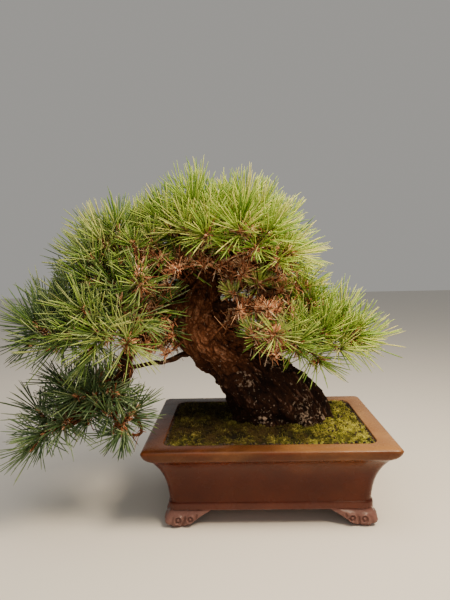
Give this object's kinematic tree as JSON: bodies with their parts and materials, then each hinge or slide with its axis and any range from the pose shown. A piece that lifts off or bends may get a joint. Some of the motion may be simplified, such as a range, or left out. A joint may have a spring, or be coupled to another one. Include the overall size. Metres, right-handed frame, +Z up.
{
  "type": "black pine bonsai",
  "caption": "Old black pine bonsai in a rectangular footed stoneware pot: a thick leaning trunk from mossy soil, needle pads on spreading branches and one low cascading branch.",
  "frame": {"origin": "bottom centre of the whole object's box, level with the undersides of the pot's feet", "axes": "+Z up, +X along the pot's long side towards its right as seen from the front, -Y towards the front, from which the picture was taken"},
  "size_m": [0.5742, 0.3574, 0.5183],
  "materials": {
    "stoneware": "satin",
    "screen_plastic": "matte",
    "soil": "matte",
    "moss": "matte",
    "bark": "matte",
    "needles": "satin"
  },
  "bodies": {
    "root": {"back_spray_01": "needles", "back_spray_02": "needles", "back_spray_03": "needles", "back_spray_04": "needles", "back_spray_05": "needles", "back_spray_06": "needles", "cascade_foot_spray_01": "needles", "cascade_foot_spray_02": "needles", "cascade_spray_01": "needles", "cascade_spray_02": "needles", "cascade_spray_03": "needles", "cascade_spray_04": "needles", "cascade_spray_05": "needles", "cascade_spray_06": "needles", "crown_spray_01": "needles", "crown_spray_02": "needles", "crown_spray_03": "needles", "crown_spray_04": "needles", "crown_spray_05": "needles", "crown_spray_06": "needles", "crown_spray_07": "needles", "crown_spray_08": "needles", "crown_spray_09": "needles", "crown_spray_10": "needles", "crown_spray_11": "needles", "crown_spray_12": "needles", "drain_screen_left": "screen_plastic", "drain_screen_right": "screen_plastic", "left_spray_01": "needles", "left_spray_02": "needles", "left_spray_03": "needles", "left_spray_04": "needles", "left_spray_05": "needles", "left_spray_06": "needles", "left_spray_07": "needles", "left_spray_08": "needles", "left_spray_09": "needles", "moss_carpet": "moss", "pot": "stoneware", "right_front_spray_01": "needles", "right_front_spray_02": "needles", "right_front_spray_03": "needles", "right_spray_01": "needles", "right_spray_02": "needles", "right_spray_03": "needles", "right_spray_04": "needles", "right_spray_05": "needles", "right_spray_06": "needles", "right_spray_07": "needles", "right_spray_08": "needles", "soil": "soil", "trunk_and_branches": "bark", "upper_left_spray_01": "needles", "upper_left_spray_02": "needles", "upper_left_spray_03": "needles", "upper_left_spray_04": "needles", "upper_left_spray_05": "needles", "upper_left_spray_06": "needles", "upper_left_spray_07": "needles", "upper_left_spray_08": "needles"}
  },
  "joints": []
}
